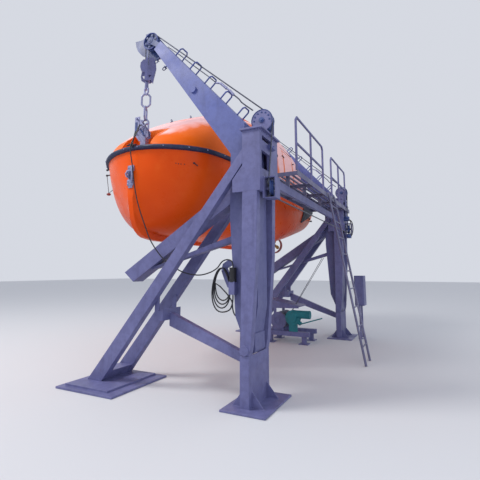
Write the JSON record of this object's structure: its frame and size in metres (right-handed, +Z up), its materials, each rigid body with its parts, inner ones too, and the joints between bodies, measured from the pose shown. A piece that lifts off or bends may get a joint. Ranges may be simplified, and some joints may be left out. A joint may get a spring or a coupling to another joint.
{
  "type": "enclosed lifeboat",
  "caption": "Totally enclosed orange lifeboat with helm cupola, side doors and steering nozzle, hanging in a pivoting gravity davit with gangway, ladder and winch.",
  "frame": {"origin": "on the deck, under the middle of the whole assembly's outline", "axes": "+X towards the bow, +Y inboard over the deck (the boat's port side), +Z up"},
  "size_m": [7, 4.3731, 5.946],
  "materials": {
    "davit_paint": "blue-grey marine paint",
    "grating_paint": "painted and galvanised steel",
    "hull_orange": "orange glass-fibre gelcoat",
    "canopy_orange": "sun-faded orange gelcoat",
    "fender_rubber": "navy rubber",
    "bare_steel": "galvanised or stainless steel",
    "winch_teal": "teal enamel",
    "cable_black": "black sheathed cable",
    "window_glass": "tinted clear plastic pane",
    "nozzle_red": "red primer",
    "bronze": "cast bronze",
    "inner_plastic": "pale glass-fibre moulding"
  },
  "bodies": {
    "davit_frame": {"fore_foot": "davit_paint", "fore_post_bow_side": "davit_paint", "fore_post_stern_side": "davit_paint", "fore_head_box": "davit_paint", "fore_leg_bow_side": "davit_paint", "fore_leg_stern_side": "davit_paint", "fore_leg_pad": "davit_paint", "fore_brace": "davit_paint", "aft_foot": "davit_paint", "aft_post_bow_side": "davit_paint", "aft_post_stern_side": "davit_paint", "aft_head_box": "davit_paint", "aft_leg_bow_side": "davit_paint", "aft_leg_stern_side": "davit_paint", "aft_leg_pad": "davit_paint", "aft_brace": "davit_paint", "gangway_beam": "davit_paint", "gangway_platform": "grating_paint", "gangway_rail_bow": "davit_paint", "gangway_rail_stern": "davit_paint", "ladder": "grating_paint", "winch_bed": "davit_paint", "winch_motor": "winch_teal", "control_cabinet": "davit_paint"},
    "arms_and_boat": {"fore_arm": "davit_paint", "fore_cradle_beam": "davit_paint", "fore_fall_block": "bare_steel", "aft_arm": "davit_paint", "aft_cradle_beam": "davit_paint", "aft_fall_block": "bare_steel", "hull": "hull_orange", "fender": "fender_rubber", "canopy_stern": "canopy_orange", "canopy_middle": "canopy_orange", "canopy_bow": "canopy_orange", "helm_cupola": "canopy_orange", "cupola_glass": "window_glass", "sole_and_benches": "inner_plastic", "engine": "inner_plastic", "hook_fore": "bare_steel", "hook_aft": "bare_steel", "stem_bracket": "bare_steel", "shore_cable": "cable_black", "cable_socket": "fender_rubber", "cable_hook": "davit_paint", "cable_hank": "cable_black"},
    "fore_top_wheel": {"fore_top_sheave": "davit_paint"},
    "fore_side_wheel": {"fore_side_sheave": "davit_paint"},
    "aft_top_wheel": {"aft_top_sheave": "davit_paint"},
    "aft_side_wheel": {"aft_side_sheave": "davit_paint"},
    "fore_head_wheel": {"fore_head_sheave": "davit_paint"},
    "aft_head_wheel": {"aft_head_sheave": "davit_paint"},
    "drum": {"winch_drum": "bare_steel"},
    "cabinet_leaf": {"cabinet_door": "davit_paint"},
    "port_leaf": {"door_port": "canopy_orange"},
    "starboard_leaf": {"door_starboard": "canopy_orange"},
    "fore_lid": {"fore_hatch_lid": "canopy_orange"},
    "helm_lid": {"helm_hatch_lid": "canopy_orange"},
    "nozzle": {"steering_nozzle": "nozzle_red"},
    "screw": {"propeller": "bronze"}
  },
  "joints": [
    {"name": "davit_swing", "type": "hinge", "parent": "davit_frame", "child": "arms_and_boat", "pos_m": [0, 1.147, 0.714], "axis": [1, 0, 0], "range_deg": [0, 23]},
    {"name": "fore_top_sheave_spin", "type": "hinge", "parent": "davit_frame", "child": "fore_top_wheel", "pos_m": [2.77, 1.302, 3.816], "axis": [1, 0, 0], "continuous": true},
    {"name": "aft_top_sheave_spin", "type": "hinge", "parent": "davit_frame", "child": "aft_top_wheel", "pos_m": [-2.77, 1.302, 3.816], "axis": [1, 0, 0], "continuous": true},
    {"name": "fore_side_sheave_spin", "type": "hinge", "parent": "davit_frame", "child": "fore_side_wheel", "pos_m": [2.87, 1.46, 2.806], "axis": [-0.2571, 0.9664, 0], "continuous": true},
    {"name": "aft_side_sheave_spin", "type": "hinge", "parent": "davit_frame", "child": "aft_side_wheel", "pos_m": [-2.67, 1.46, 2.806], "axis": [-0.2571, 0.9664, 0], "continuous": true},
    {"name": "fore_head_sheave_spin", "type": "hinge", "parent": "arms_and_boat", "child": "fore_head_wheel", "pos_m": [2.77, -0.805, 5.68], "axis": [1, 0, 0], "continuous": true},
    {"name": "aft_head_sheave_spin", "type": "hinge", "parent": "arms_and_boat", "child": "aft_head_wheel", "pos_m": [-2.77, -0.805, 5.68], "axis": [1, 0, 0], "continuous": true},
    {"name": "winch_drum_spin", "type": "hinge", "parent": "davit_frame", "child": "drum", "pos_m": [-1.65, -0.068, 0.515], "axis": [1, 0, 0], "continuous": true},
    {"name": "cabinet_door_hinge", "type": "hinge", "parent": "davit_frame", "child": "cabinet_leaf", "pos_m": [-2.64, 1.755, 1.2], "axis": [0, 0, 1], "range_deg": [0, 110]},
    {"name": "port_door_hinge", "type": "hinge", "parent": "arms_and_boat", "child": "port_leaf", "pos_m": [-0.795, 0.373, 4.21], "axis": [0, 0, -1], "range_deg": [0, 95]},
    {"name": "starboard_door_hinge", "type": "hinge", "parent": "arms_and_boat", "child": "starboard_leaf", "pos_m": [-0.795, -2.151, 4.21], "axis": [0, 0, 1], "range_deg": [0, 95]},
    {"name": "fore_hatch_hinge", "type": "hinge", "parent": "arms_and_boat", "child": "fore_lid", "pos_m": [1.447, -0.889, 4.79], "axis": [0, -1, 0], "range_deg": [0, 100]},
    {"name": "helm_hatch_hinge", "type": "hinge", "parent": "arms_and_boat", "child": "helm_lid", "pos_m": [-1.272, -0.889, 5.459], "axis": [0, 1, 0], "range_deg": [0, 100]},
    {"name": "nozzle_steer", "type": "hinge", "parent": "arms_and_boat", "child": "nozzle", "pos_m": [-3.23, -0.889, 2.48], "axis": [0, 0, 1], "range_deg": [-30, 30]},
    {"name": "propeller_spin", "type": "hinge", "parent": "arms_and_boat", "child": "screw", "pos_m": [-3.215, -0.889, 2.48], "axis": [1, 0, 0], "continuous": true}
  ]
}
